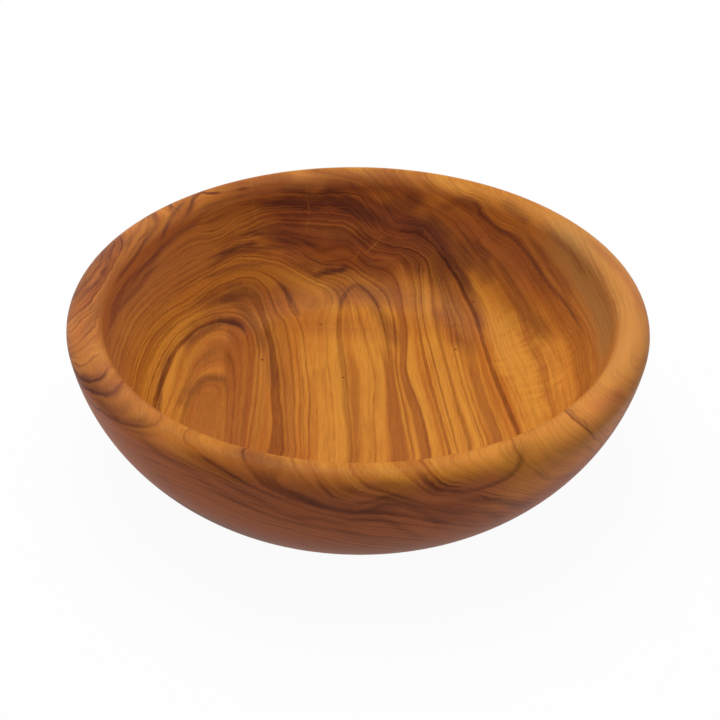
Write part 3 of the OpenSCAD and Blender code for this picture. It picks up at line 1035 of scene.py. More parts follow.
STAINS = (Tone.SMOKE, Tone.RUST, Tone.GLOW, Tone.ASH_AND_PAINTED_SHEEN, Tone.PEACH_AND_PAINTED_LIGHT)
BRUSHES = (
    # Dark back wall
    *strokes(
        Tone.SMOKE, Face.HOLLOW,
        (4.0, 0.24, ((-20, 53), (-15, 55), (-10, 56), (-6, 56.5), (-2.5, 56.5), (1.5, 55.5), (6, 54.5))),
        (2.0, 0.8, ((-27.5, 50), (-23.5, 51.5), (-20, 53), (-17, 54), (-14.5, 54.5), (-11, 55), (-8.5, 56), (-6, 56),
            (-3, 56), (0, 55.5), (3.5, 55), (6.5, 54), (11, 54))),
        (4.0, 0.6, ((5.5, 55), (8.5, 55.5), (11.5, 55), (14, 55), (15.5, 55))),
        (3.0, 0.5, ((-8.5, 53), (-3.5, 53), (0, 52.5), (4, 52))),
        (2.5, 0.25, ((-25.5, 49), (-17.5, 51.5), (-11, 52.5), (-5.5, 53.5))),
        (4.5, 0.2, ((-39, 41), (-35.5, 44.5), (-31, 47.5), (-26, 50), (-21, 52))),
        (1.3, 0.9, ((-12, 46), (-9.5, 47), (-7.5, 47.5), (-5, 48), (-2, 49))),
        (1.2, 0.5, ((-16, 47.5), (-13.5, 47.5), (-11.5, 46.5), (-9.5, 46))),
        (3.0, 0.3, ((-1.5, 50), (2, 49), (5, 47.5), (6.5, 45))),
        (2.8, 0.35, ((4.5, 53.5), (9, 51.5), (12, 50.5), (14, 48.5), (16, 45))),
        (8.0, 0.1, ((-24, 49), (-11, 53), (2, 53), (13, 51), (22, 46))),
        (6.0, 0.12, ((-27, 40), (-15, 45), (-2, 48), (10.5, 46.5), (20.5, 40))),
        (4.0, 0.22, ((-10, 42), (-3, 43.5), (4, 43), (10, 40))),
        (4.0, 0.25, ((-22, 43), (-15, 40.5), (-8, 38))),
    ),
    # Thin dark lines of the back wall
    *strokes(
        Tone.SMOKE, Face.HOLLOW,
        (0.9, 0.7, ((-32, 44.5), (-27.5, 47.5), (-23, 49), (-18.5, 50), (-13.5, 51), (-9, 51))),
        (0.9, 0.55, ((-39, 37.5), (-33.5, 42), (-28.5, 45), (-22.5, 48), (-16.5, 49.5))),
        (0.9, 0.5, ((-38, 37), (-34, 41), (-30.5, 44.5), (-25, 47.5))),
        (0.9, 0.5, ((-39, 34.5), (-33.5, 39.5), (-28.5, 43), (-21.5, 46))),
        (0.9, 0.5, ((-15, 49.5), (-12, 49), (-9.5, 48.5), (-6, 49))),
        (0.9, 0.7, ((-21, 53.5), (-15, 55), (-11.5, 55.5), (-8.5, 56.5))),
        (1.1, 0.75, ((-28.1, 49.5), (-25.4, 50.9), (-22.5, 52.1), (-19.5, 53), (-16.3, 53.9), (-13.5, 54.4),
            (-11.2, 55.1), (-8.7, 55.5), (-5.4, 55.8), (-2.9, 55.6), (-0.3, 55.1), (2.8, 54.5), (6.1, 53.8))),
        (1.1, 0.75, ((-11.2, 55.2), (-10, 55.9), (-8, 56.4), (-5.4, 56.6), (-2.9, 56.5), (-0.6, 56.2), (2.2, 55.7),
            (4.8, 54.9), (7.1, 54.2))),
        (1.0, 0.6, ((-22.5, 49.1), (-19.5, 49.9), (-17, 50.2), (-13.7, 50.7), (-10.4, 51.2))),
        (1.1, 0.6, ((-1.2, 54), (-0.3, 53.7), (2.1, 52.9), (3.4, 52.4))),
        (0.9, 0.55, ((-35.7, 40.4), (-32.9, 42.7), (-30.3, 44.5), (-26.9, 46.6), (-24.9, 47.6))),
        (1.6, 0.4, ((-28.6, 47.4), (-24.5, 49.1), (-21.2, 50.3), (-18.3, 51), (-15.7, 51.6))),
    ),
    # Right wall and the root of the flame
    *strokes(
        Tone.SMOKE, Face.HOLLOW,
        (2.6, 0.9, ((10, 53.5), (14, 53), (17, 52), (20, 50), (22, 47.5), (24.5, 44.5), (26.5, 41.5), (28.3, 37.5))),
        (3.2, 0.85, ((15, 54), (19.5, 51.5), (23.5, 48), (26.5, 45), (28.5, 41.5))),
        (5.5, 0.5, ((8, 55), (12.5, 53.5), (17, 50.5), (21, 46), (24, 42))),
        (4.0, 0.45, ((24.5, 49), (28.5, 45), (31.5, 41), (33, 37.5))),
        (1.8, 0.55, ((28, 47), (30, 45), (31.5, 43.5), (33, 41.5))),
        (3.6, 0.42, ((33.5, 42.5), (36.5, 38), (38.5, 33.5), (41.5, 27), (46.5, 16))),
        (2.0, 0.35, ((19, 53), (22.5, 52), (25.5, 51), (29, 48.5))),
        (2.0, 0.2, ((36.5, 43), (40.5, 39), (44, 35), (47.5, 29.5))),
        (1.6, 0.35, ((44, 37.5), (47.5, 32), (51, 25.5), (53.5, 18.5))),
        (3.0, 0.32, ((41, 38), (43.5, 35), (46.5, 30), (49.5, 24), (51, 19))),
        (4.0, 0.42, ((18, 48), (21, 44), (24, 36), (26, 26.5), (27.5, 16))),
        (2.4, 0.4, ((25.5, 43), (28.3, 37.5), (29.5, 33), (30.6, 27))),
    ),
    # Left wall and its upper edge
    *strokes(
        Tone.SMOKE, Face.HOLLOW,
        (1.6, 0.4, ((-55, -15), (-56, -1.5), (-55.5, 7), (-54, 13.5), (-52.5, 19), (-50.5, 24), (-48.5, 29),
            (-46, 33), (-43.5, 36.5), (-40, 40.5), (-36.5, 44.5), (-31.5, 48.5))),
        (1.1, 0.4, ((-55.5, -0.5), (-55.5, 6), (-54, 13), (-52, 19), (-50, 24.5), (-47, 31))),
        (1.2, 0.6, ((-55.9, -1.3), (-56.2, 3.6), (-55.7, 8.5), (-54.3, 15.2), (-52, 21.6), (-49.7, 26.4),
            (-47.6, 30.5), (-45.1, 34.4))),
    ),
    # Arch, hook and floor
    *strokes(
        Tone.SMOKE, Face.HOLLOW,
        (2.0, 0.65, ((-42.5, 14.5), (-40, 20.5), (-35.5, 26.5), (-31, 29), (-26.5, 27.5))),
        (2.0, 0.6, ((-35.5, 32.5), (-32.5, 35), (-28.5, 38), (-23, 38.5))),
        (1.6, 0.5, ((-34, 36), (-29.5, 39), (-24, 40.5))),
        (1.1, 0.58, ((-21, 43), (-18.5, 41.5), (-16.5, 38.5), (-14.5, 33.5))),
        (0.9, 0.6, ((-4.5, 37), (-4, 41.5), (-2.5, 44), (-1, 45), (0.5, 44.5), (3.5, 41.5), (5.5, 37))),
        (1.6, 0.3, ((-42, 21), (-37.5, 27.3), (-30.4, 30.4), (-26, 29))),
        (1.1, 0.6, ((-44.6, -17), (-45.2, -8), (-45.6, 0), (-45.2, 8), (-43.5, 15))),
        (3.0, 0.35, ((-41, 27), (-34.5, 34), (-29.5, 35), (-25.5, 29.5), (-23, 15))),
        (2.6, 0.42, ((-40.5, -8), (-40, -2), (-38.5, 3), (-36, 7), (-32, 6.5), (-30, 4))),
        (2.5, 0.35, ((-23.5, 31), (-22, 22), (-20.5, 12), (-19.5, 2))),
        (3.0, 0.3, ((2, 42), (4, 39), (6, 34), (8.5, 27), (9, 20))),
    ),
    # Back of the rim, and the lines over the back and right walls
    *strokes(
        Tone.SMOKE, Face.OUTSIDE,
        (5.0, 0.22, ((132, 51), (120, 52), (105, 52), (88, 52), (74, 51))),
        (0.9, 0.65, ((94, 52.5), (92, 55), (89.5, 57.5), (86, 59.5), (81, 61.5))),
        (0.9, 0.55, ((88, 53), (83.5, 55.5), (79, 58.5))),
        (1.0, 0.8, ((68.5, 50.5), (63.5, 54.5), (60.5, 55), (59, 55.5), (58, 57.5), (54.5, 59), (51.5, 60),
            (48.5, 60), (45.5, 61), (42, 62.5), (38, 64), (33.5, 65.5), (28.5, 66.5), (22, 67), (14.5, 67.5),
            (7, 67.5))),
        (2.2, 0.4, ((53.5, 52.5), (49.5, 53.5), (43, 55.5))),
    ),
    # Eye and ovals on the left of the rim
    *strokes(
        Tone.SMOKE, Face.OUTSIDE,
        (4.5, 0.7, ((155, 46.5), (162, 47.5), (170, 47.8), (178, 47), (184, 46))),
        (1.5, 0.55, ((153.5, 43), (153.5, 46), (155, 49), (159, 51.5))),
        (1.2, 0.65, ((145.5, 42), (143.8, 45), (144, 49), (146.5, 52.5))),
        (0.9, 0.9, ((136.6, 43.5), (137.5, 46.5), (138.5, 49), (140, 52))),
        (1.1, 0.65, ((132.5, 42), (130.8, 45), (131.2, 48.5), (134, 52), (138, 54.5))),
        (0.9, 0.65, ((170.4, 56), (164, 56), (158, 55.6), (154, 54.6), (151, 53.5), (145, 52.1))),
        (0.9, 0.6, ((184, 48.8), (178, 49.9), (174, 51.7), (169, 51.6), (163, 50.1), (159, 49.3))),
        (0.9, 0.7, ((147.8, 57), (145, 54.8), (142, 52.9), (138, 51.5), (134, 49.6))),
        (0.9, 0.6, ((161, 52), (156, 51.6), (151, 50.8), (146, 48.3), (142, 48.1))),
        (0.9, 0.5, ((191, 47.1), (188, 49.2), (185, 51.4), (181, 52.4))),
        (0.9, 0.45, ((196, 47), (195, 49.4), (191, 51.3), (185, 53.4), (181, 53.8))),
    ),
    # Crescents at the front left of the rim, and the shade between them
    *strokes(
        Tone.SMOKE, Face.OUTSIDE,
        (1.7, 0.68, ((205, 45.5), (209, 46.4), (211, 48), (210, 50.7))),
        (1.7, 0.68, ((210, 45.3), (214, 46.8), (217, 48.4), (214, 52))),
        (1.7, 0.7, ((213, 44.7), (219, 45.8), (222, 47.4), (220, 50.5))),
        (1.7, 0.72, ((216, 43.9), (222, 45.3), (227, 47.2), (227, 49.7))),
        (3.0, 0.3, ((213, 47.5), (219, 47.5), (226, 47.5), (232, 47.5))),
        (4.0, 0.25, ((202, 50), (208, 48), (215, 48), (222, 49))),
        (3.0, 0.2, ((214, 54), (220, 53.5), (227, 53))),
    ),
    # Shade on the front rim, the scalloped line under it and the curl at its right
    *strokes(
        Tone.SMOKE, Face.OUTSIDE,
        (3.0, 0.3, ((296, 48), (299, 47.5), (302, 48), (304, 50))),
        (2.5, 0.25, ((246, 51.5), (250, 50.5), (254, 50), (257, 50.5))),
        (3.0, 0.22, ((244, 49.5), (250, 49), (256, 48.5), (262, 47.5))),
        (1.0, 0.6, ((283, 47.8), (284, 45.6), (286, 43.6), (288, 42.3), (291, 41.9), (294, 42.2), (297, 42.7),
            (299, 44.3), (300, 45.7), (301, 47.9), (302, 49.7))),
        (1.0, 0.5, ((281, 48.5), (282, 46.7), (283, 44.5), (285, 42.6))),
        (1.0, 0.55, ((317.5, 54), (316, 50.8), (315, 49), (316, 47.1), (317, 44.3))),
    ),
    # Outside, below the front rim
    *strokes(
        Tone.SMOKE, Face.OUTSIDE,
        (7.0, 0.2, ((238, 42), (245, 41), (258, 40), (270, 38), (285, 37), (300, 35))),
        (0.9, 0.5, ((238, 46.3), (241, 46.3), (244, 46), (248, 44.8), (251, 43.3), (255, 42), (261, 40))),
        (3.2, 0.3, ((256, 43.5), (262, 41.5), (266, 40), (270, 39), (278, 39.5))),
        (1.3, 0.52, ((254, 46), (259, 43.5), (262, 41.5), (266, 39.5), (270, 38.5), (272, 39.5), (275, 41.5),
            (279, 40.5), (282, 37.5), (285, 33.5), (290, 28))),
        (1.2, 0.47, ((262.5, 47), (264, 44.5), (266, 42.5), (269, 41.2), (272, 42), (275, 43.5), (279, 42.5),
            (283, 39), (288, 36), (295, 33))),
        (1.2, 0.36, ((270, 45.5), (276, 46.3), (280, 45), (284, 42.5), (290, 40))),
        (1.0, 0.32, ((283, 46.5), (286, 44.2), (289, 42.6), (293, 42.2), (297, 43.6), (301, 46))),
        (1.6, 0.59, ((286, 40.5), (292, 38.5), (296, 36.5), (301, 32), (305, 28), (310, 23))),
        (1.6, 0.41, ((282, 40.5), (289, 38), (294, 34), (298, 29), (302, 23))),
        (1.4, 0.44, ((241, 39.5), (250, 36.5), (256, 34), (262, 33), (268, 31.5), (276, 27))),
        (1.4, 0.41, ((226, 45.5), (233, 43), (238, 42.5), (245, 40.5))),
        (1.4, 0.48, ((245, 42.5), (252, 40), (256, 37), (260, 35.5), (264, 36), (270, 33))),
        (1.4, 0.41, ((266, 35.5), (274, 36.5), (278, 33), (281, 29), (285, 24))),
        # Painted shade low on the outside at the front left, towards the foot
        (6.0, 0.5, ((222, 22), (232, 21), (243, 20), (255, 19))),
    ),
    # Reddish places of the hollow
    *strokes(
        Tone.RUST, Face.HOLLOW,
        (6.0, 0.8, ((-26, 50), (-12, 54.5), (0, 55.5), (12, 53.5), (22, 49))),
        (9.0, 0.72, ((-26, 46), (-16, 50), (-6, 51), (8, 51), (22, 46))),
        (8.0, 0.1, ((-52, 14), (-46, 28), (-38, 39), (-28, 46), (-18, 50))),
        (7.0, 0.45, ((18, 52), (26, 49), (34, 43), (41, 34), (46, 24))),
        (3.5, 0.5, ((20, 38), (22, 33), (23.5, 27), (24.5, 21))),
        (8.0, 0.22, ((-20, 33), (-8, 31), (4, 29), (14, 31), (24, 33))),
        (6.0, 0.38, ((-40, 27), (-34, 33), (-27, 37), (-20, 38), (-14, 37))),
        (6.0, 0.3, ((-10, 41), (-4, 42.5), (3, 43), (10, 41), (16, 37))),
        (10.0, 0.22, ((-37, -30), (-36, -10), (-35, 12), (-30, 28), (-20, 38))),
    ),
    # Reddish places of the rim
    *strokes(
        Tone.RUST, Face.OUTSIDE,
        (6.0, 0.5, ((128, 52), (112, 53), (96, 54), (82, 54), (70, 52))),
        (6.0, 0.3, ((140, 49), (160, 50), (180, 49), (200, 48), (220, 47))),
        (4.0, 0.2, ((245, 50.5), (252, 50), (258, 49.5), (265, 49))),
        (5.0, 0.12, ((238, 53), (246, 53), (254, 53), (262, 53))),
        (4.0, 0.45, ((236, 46), (250, 46), (262, 46), (272, 46))),
        (3.5, 0.15, ((266, 45), (280, 45), (296, 45))),
        (1.8, 0.4, ((30, 50.5), (16, 49.8), (8, 49.2), (2, 48.5), (-6, 48))),
        (2.5, 0.45, ((319, 48), (323, 47.5), (327, 46.8), (331, 46.5))),
    ),
    # Pale places of the hollow, and painted light on the left wall
    *strokes(
        Tone.GLOW, Face.HOLLOW,
        (2.6, 0.5, ((-13, 27), (-12.8, 18), (-12.2, 5), (-11.5, -10), (-11, -25))),
        # Painted light that brightens the left wall
        (8.0, 0.5, ((-53, -2), (-51.5, 9), (-47.5, 20), (-42, 28))),
        (4.0, 0.6, ((38.5, 10), (40.5, 3), (42.5, -3), (44, -10))),
        (5.0, 0.75, ((48, 18), (50, 8), (51, -2), (50, -12))),
        (5.5, 0.8, ((40, 24), (42, 17), (44.5, 8), (46, -3))),
        (5.5, 0.8, ((34.5, 8), (36, 16), (37.5, 24), (36.5, 32))),
        (2.0, 0.3, ((-19.5, 52.5), (-17, 53.5), (-14.5, 54))),
        (5.5, 0.55, ((0.5, 38), (1.5, 30), (2.5, 18), (3, 4), (3.5, -10), (4, -24), (4.5, -38))),
        (4.0, 0.45, ((-8.5, 26), (-7.5, 8), (-6.5, -8), (-6, -24), (-5.5, -38))),
        (2.2, 0.7, ((9, 45), (10, 40), (10.5, 33))),
    ),
    # Pale places of the rim, and a painted highlight along its right
    *strokes(
        Tone.GLOW, Face.OUTSIDE,
        (4.0, 0.5, ((294, 48.5), (302, 47.5), (311, 47.5), (320, 47))),
        (3.5, 0.9, ((70.5, 56), (68, 54), (65, 53.5), (61.5, 54))),
        (4.5, 0.95, ((110, 53), (105.5, 53), (101, 54), (97, 55.5))),
        # Painted highlight along the right of the rim
        (6.0, 0.85, ((-48, 50), (-30, 51), (-10, 51), (10, 51), (30, 51), (50, 51))),
    ),
    # Pale greyish wood and painted sheen, on the right of the rim and high on the right wall
    *strokes(
        Tone.ASH_AND_PAINTED_SHEEN, Face.OUTSIDE,
        (8.0, 0.95, ((42, 54), (30, 56), (20, 58), (10, 59), (0, 59.5), (-14, 59.5))),
        (5.0, 0.35, ((-34, 50), (-10, 50), (10, 51), (34, 51))),
    ),
    # Bright orange places of the hollow, and painted light low on its right
    *strokes(
        Tone.PEACH_AND_PAINTED_LIGHT, Face.HOLLOW,
        # Painted light that brightens the right of the hollow, low on its wall
        (9.0, 0.22, ((46, 20), (48, 8), (48, -4), (45, -14))),
        (3.0, 0.2, ((-23, 47), (-15, 48.8), (-7, 49))),
    ),
    # Bright orange places of the rim and the outside
    *strokes(
        Tone.PEACH_AND_PAINTED_LIGHT, Face.OUTSIDE,
        (3.0, 0.35, ((107, 51), (103, 53), (101, 54.5), (98, 55.5))),
        (2.2, 0.3, ((71, 55.5), (68, 54), (65, 53.5), (61, 54.5))),
        (4.0, 0.5, ((298, 43.5), (306, 44), (314, 45.5), (322, 47), (328, 47))),
        (7.0, 0.65, ((292, 37), (302, 37), (312, 37.5), (322, 39), (334, 42))),
        (4.0, 0.15, ((-30, 49), (-20, 49), (-8, 49), (4, 49), (16, 50))),
        (3.5, 0.2, ((186, 47), (194, 46.5), (202, 46), (209, 46))),
        (4.0, 0.22, ((284, 49), (294, 48.5), (304, 48.5), (314, 49), (326, 49.5))),
    ),
)


class Belt(Enum):
    """Steps along the section, in millimetres of run from the foot's centre over the rim to the floor's centre."""

    RIM_FOOT = (78.5, 82.5)
    RIM_SIDE = (81.5, 87.0)
    RIM_TOP = (86.0, 88.0)
    LIP = (91.0, 95.0)
    UPPER_WALL = (100.0, 116.0)
    COVE = (106.0, 132.0)

    def passed(self, run: Wire) -> Wire:
        """0 before the step and 1 behind it."""
        return run.rise(*self.value)


class Lumps(Enum):
    """Noises in the wood: lumps in each unit of the vector's three parts, then detail and roughness."""

    # Over x, y and z
    SWAY = ((0.2, 0.05, 0.2), 2.0, 0.5)
    SHIVER = ((0.8, 0.25, 0.8), 2.0, 0.5)
    WOBBLE = ((0.3, 0.22, 0.3), 2.0, 0.5)
    FLECKS = ((3.2, 0.22, 3.2), 2.0, 0.6)
    PORES = ((6.0, 0.7, 6.0), 1.0, 0.5)
    CLOUD = ((0.11, 0.05, 0.11), 3.0, 0.55)
    # Painted sheen of the curl figure's cross ripples
    PAINTED_CURL_SHEEN = ((0.12, 0.75, 0.3), 1.0, 0.5)
    DRIFT = ((0.07, 0.45, 0.45), 3.0, 0.6)
    FADE = ((0.16, 0.12, 0.16), 1.0, 0.5)
    # Over ring, y and z
    BELTS = ((0.32, 0.01, 0.02), 2.0, 0.5)
    GROWTH = ((1.3, 0.012, 0.02), 3.0, 0.6)
    HAIR = ((0.9, 0.022, 0.03), 2.0, 0.5)

    def over(self, bench: Bench, vector: Wire) -> Wire:
        """The noise over a vector, from 0 to 1."""
        scale, detail, roughness = self.value
        return bench.noise(bench.scaled(vector, scale), detail, roughness)


class Ground:
    """What is known at each place on the dish, as wires of the wood's tree. Lengths are in millimetres."""

    # Moves the hairlines' noise away from that of the growth lines
    hair_shift: float = 700 / 3

    def __init__(self, bench: Bench) -> None:
        """Reads the place and the mesh's own values, and works out what several colours use.

        Args:
            bench: Bench of the wood's tree.
        """
        self.bench = bench
        place = bench.node("ShaderNodeTexCoord", None, None, "Object")
        self.place = bench.node("ShaderNodeVectorMath", {"operation": "SCALE"}, {0: place, "Scale": 1 / MM})
        self.x, self.y, self.z = bench.parts(self.place)
        self.pace, self.run = self._stored("pace"), self._stored("run")
        self.smoke, self.rust, self.glow, self.ash_and_painted_sheen, self.peach_and_painted_light = (self._stored(tone.name.lower()) for tone in STAINS)
        self.inside = Belt.LIP.passed(self.run)
        self.wall = 1 - Belt.COVE.passed(self.run)
        self.flecks, self.pores, self.cloud = (self.lumps(n) for n in (Lumps.FLECKS, Lumps.PORES, Lumps.CLOUD))
        self.shiver = self.lumps(Lumps.SHIVER) - 0.5
        self.ring = self._stored("ring") + self._bend() * self.pace
        self.growth = Lumps.GROWTH.over(bench, bench.vector(self.ring, self.y, self.z))
        self.lively = 1 - self._calm() * 0.75
        self.under = self._under()

    def _stored(self, name: str) -> Wire:
        """A value that the mesh holds for each point."""
        return self.bench.node("ShaderNodeAttribute", {"attribute_name": name}, None, "Fac")

    def lumps(self, kind: Lumps) -> Wire:
        """A noise over the place."""
        return kind.over(self.bench, self.place)

    def _bend(self) -> Wire:
        """Small bends of the rings, in millimetres; they are strongest in stained walls and on the left rim.

        Returns:
            The bend across the ring.
        """
        sway, wobble = self.lumps(Lumps.SWAY) - 0.5, self.lumps(Lumps.WOBBLE) - 0.5
        wild = self.rust.most(self.smoke).most(self.x.rise(-38.0, -52.0) * (1 - self.inside))
        return sway * 0.8 + self.shiver * (0.25 + self.wall * 0.35) + wobble * self.wall * (0.5 + wild * 1.3)

    def _calm(self) -> Wire:
        """Where the colour varies less: on the right, up the wall, and in stained and pale wood.

        Returns:
            1 in the calmest wood.
        """
        right = (self.ring.rise(29.0, 36.0) * self.inside).most(self.x.rise(0.0, 35.0) * (1 - self.inside))
        stained = self.rust.most(self.smoke).most(self.glow * self.inside)
        return right.most(self.wall * self.inside * 0.6).most(stained)

    def _under(self) -> Wire:
        """The side below the rim, up to an uneven edge that lies lower on the right.

        Returns:
            1 on the side and 0 on the rim and in the hollow.
        """
        return 1 - Belt.RIM_SIDE.passed(self.run + (self.cloud - 0.5) * 8 + self.x.rise(15.0, 45.0) * 4)

    def warmth(self) -> Wire:
        """How far the wood goes from gold to honey.

        Returns:
            About 0 in the palest wood and 1 in the warmest.
        """
        belts = Lumps.BELTS.over(self.bench, self.bench.vector(self.ring, self.y, self.z))
        # Painted sheen: the curl figure's shimmer, laid in as paler and warmer stripes across the grain on the right
        # of the hollow
        painted_curl_sheen = (self.lumps(Lumps.PAINTED_CURL_SHEEN) - 0.5) * self.inside * self.x.rise(22.0, 32.0)
        warm = ((belts - 0.5) * 1.5 + (self.growth - 0.5) * 1.2) * self.lively + (self.flecks - 0.5) * 0.6 + 0.5
        return warm + self.rust * 0.3 - self.glow * (0.3 + painted_curl_sheen * 1.6)

    def hairlines(self) -> Wire:
        """Fine dark lines along the rings.

        Returns:
            1 on the lines.
        """
        hair = Lumps.HAIR.over(self.bench, self.bench.vector(self.ring, self.y, self.z + self.hair_shift))
        return hair.rise(0.44, 0.49) - hair.rise(0.5, 0.56)

    def veins(self) -> tuple[Wire, Wire]:
        """Dark lines and brown bands that follow the rings.

        Returns:
            How strongly the lines show, and how strongly the bands do.
        """
        named = dict.fromkeys(mark.reach for mark in VEINS + STREAKS)
        reaches = {reach: reach.mask(self.inside, self.x, self.y) for reach in named}
        reaches[RIM_WEST] = reaches[RIM_WEST] * Belt.RIM_FOOT.passed(self.run)
        fade = 0.35 + self.lumps(Lumps.FADE).rise(0.38, 0.62) * 0.85
        clear: dict[Tone, Value] = {Tone.LINE: 1.0, Tone.BAND: 1.0}
        for vein in VEINS:
            clear[vein.tone] = clear[vein.tone] * (1 - vein.mask(self.ring, reaches[vein.reach]))
        for streak in STREAKS:
            shown = streak.mask(self.ring, self.pace, reaches[streak.reach]) * fade
            clear[Tone.LINE] = clear[Tone.LINE] * (1 - shown)
        return 1 - clear[Tone.LINE], 1 - clear[Tone.BAND]


@dataclass(frozen=True)
class OliveWood:
    """Oiled olive wood: gold sapwood, honey heartwood and dark smoky veins, with a satin sheen."""

    gold: Colour = tint(219, 146, 54)
    honey: Colour = tint(184, 104, 34)
    brown: Colour = tint(158, 84, 31)
    deep: Colour = (0.34, 0.19, 0.16, 1.0)
    shade: Colour = (0.3, 0.25, 0.25, 1.0)
    rust: Colour = tint(158, 81, 44)
    # Pale greyish wood, also laid as painted sheen on the right of the rim and high on the right wall
    ash_and_painted_sheen: Colour = tint(185, 141, 75)
    dark: Colour = tint(92, 40, 17)
    # Dark smoky wood, also laid as painted shade low on the outside at the front left
    smoke: Colour = tint(80, 37, 27)
    # Painted sheen: the pale pinkish tint that stands in for the room's white reflection
    painted_sheen: Colour = tint(198, 124, 98)
    # Bright orange wood, also laid as painted light low on the right of the hollow
    peach_and_painted_light: Colour = tint(250, 158, 74)
    umber: Colour = tint(204, 110, 66)
    satin: float = 0.42
    sheen_spread: float = 0.08
    gloss: float = 0.02
    oil: float = 0.1
    grain_strength: float = 0.12
    grain_depth: float = 0.08 * MM

    def stain(self, dish: TurnedDish) -> None:
        """Lays the brushes on the dish, one value of each tone for each point.

        Args:
            dish: The built dish.
        """
        places, section = dish.points(), dish.section()
        for tone in STAINS:
            clear = np.ones(len(places))
            for brush in BRUSHES:
                if brush.tone is tone:
                    clear *= 1 - brush.lay(places, section, dish.foot)
            dish.mark(tone.name.lower(), 1 - clear)

    def _body(self, at: Ground) -> list[Layer]:
        """Colours of the wood over gold, with painted sheen in the honey and greyish layers and painted light in the
        orange one.

        Args:
            at: What is known at a place.

        Returns:
            Honey wood with the curl's painted sheen, greyish wood with painted sheen, umber, reddish, and orange wood
            with painted light.
        """
        reddish = at.rust.most(at.smoke * at.inside * 0.6)
        return [
            Layer(at.warmth().rise(0.05, 0.95), self.honey),
            Layer(at.ash_and_painted_sheen * 0.8, self.ash_and_painted_sheen),
            Layer(at.under * 0.85, self.umber),
            Layer(reddish * (0.5 + at.cloud * 0.9), self.rust),
            Layer(at.peach_and_painted_light * (0.6 + at.flecks * 0.8), self.peach_and_painted_light),
        ]

    def _grain(self, at: Ground) -> list[Layer]:
        """Bands, growth lines, smoky wood with a patch of painted shade, dark lines and pores.

        Args:
            at: What is known at a place.

        Returns:
            The layers, from the softest to the sharpest.
        """
        lines, bands = at.veins()
        growth, cloud, flecks = at.growth, at.cloud, at.flecks
        edge = at.under * (1 - at.under) * 4
        lined = (at.rust * at.inside * 0.4).most(edge * (1 - at.x.rise(5.0, 35.0)) * 0.45)
        smoky = 0.34 + flecks * 0.45 + growth.rise(0.35, 0.65) * 0.3 + cloud.rise(0.3, 0.7) * 0.2
        side = at.under * (0.12 + cloud.rise(0.35, 0.65) * 0.22)
        return [
            Layer(bands * (0.95 + flecks * 0.7), self.brown),
            Layer(growth.rise(0.52, 0.72) * at.wall * at.lively * 0.35, self.brown),
            Layer(growth.rise(0.47, 0.62) * side, self.shade, Blend.SHADE),
            Layer(growth.rise(0.48, 0.57) * lined, self.shade, Blend.SHADE),
            Layer(at.lumps(Lumps.DRIFT).rise(0.5, 0.6) * at.rust * at.inside * 0.25, self.smoke),
            Layer(at.smoke * smoky, self.smoke),
            Layer(at.hairlines() * (0.15 + at.wall * at.inside * 0.13), self.shade, Blend.SHADE),
            Layer(lines * (0.82 + flecks * 0.4), self.deep, Blend.SHADE),
            Layer(at.pores.rise(0.62, 0.8) * 0.12, self.dark),
        ]

    def _painted_sheen_layer(self, at: Ground) -> Layer:
        """Painted sheen: a pale pinkish tint that stands in for the room's white reflection, on the flanks, on the
        side below the rim and high on the walls.

        Args:
            at: What is known at a place.

        Returns:
            The painted sheen.
        """
        left, right = at.x.rise(-30.0, -52.0), at.x.rise(30.0, 55.0)
        walls = at.inside * (1 - Belt.UPPER_WALL.passed(at.run)) * (0.1 + left * 0.2 + right * 0.06)
        shell = (1 - at.inside) * (at.under * 0.1).most((left + right) * 0.16)
        return Layer(walls + shell, self.painted_sheen)

    def _flaws(self, at: Ground) -> list[Layer]:
        """Pinholes and hairline cracks.

        Args:
            at: What is known at a place.

        Returns:
            Dark holes, then pale cracks.
        """
        shown = Belt.RIM_TOP.passed(at.run) * at.flecks.rise(0.34, 0.56) * 0.75
        bent = at.x + at.shiver * 1.2
        holes = [Layer(hole.mask(at.x, at.y) * at.inside, self.dark) for hole in PINHOLES]
        return holes + [Layer(check.mask(bent, at.y) * shown, self.gold) for check in CHECKS]

    def material(self) -> bpy.types.Material:
        """Builds the wood's shader.

        Returns:
            The material, which reads the mesh's own ring, pace, run and stains.
        """
        made = bpy.data.materials.new("olive_wood")
        made.use_nodes = True
        made.node_tree.nodes.clear()
        bench = Bench(made.node_tree)
        at = Ground(bench)
        colour = bench.lay(self.gold, *self._body(at), *self._grain(at), self._painted_sheen_layer(at), *self._flaws(at))
        relief = at.flecks * 0.6 + at.pores * 0.4
        bump = bench.node("ShaderNodeBump", None, {
            "Strength": self.grain_strength, "Distance": self.grain_depth, "Height": relief})
        shader = bench.node("ShaderNodeBsdfPrincipled", None, {
            "Base Color": colour, "Roughness": self.satin + (at.flecks - 0.5) * self.sheen_spread, "Normal": bump,
            "Specular IOR Level": self.gloss, "Coat Weight": self.oil, "Coat Roughness": self.satin})
        bench.node("ShaderNodeOutputMaterial", None, {"Surface": shader})
        return made


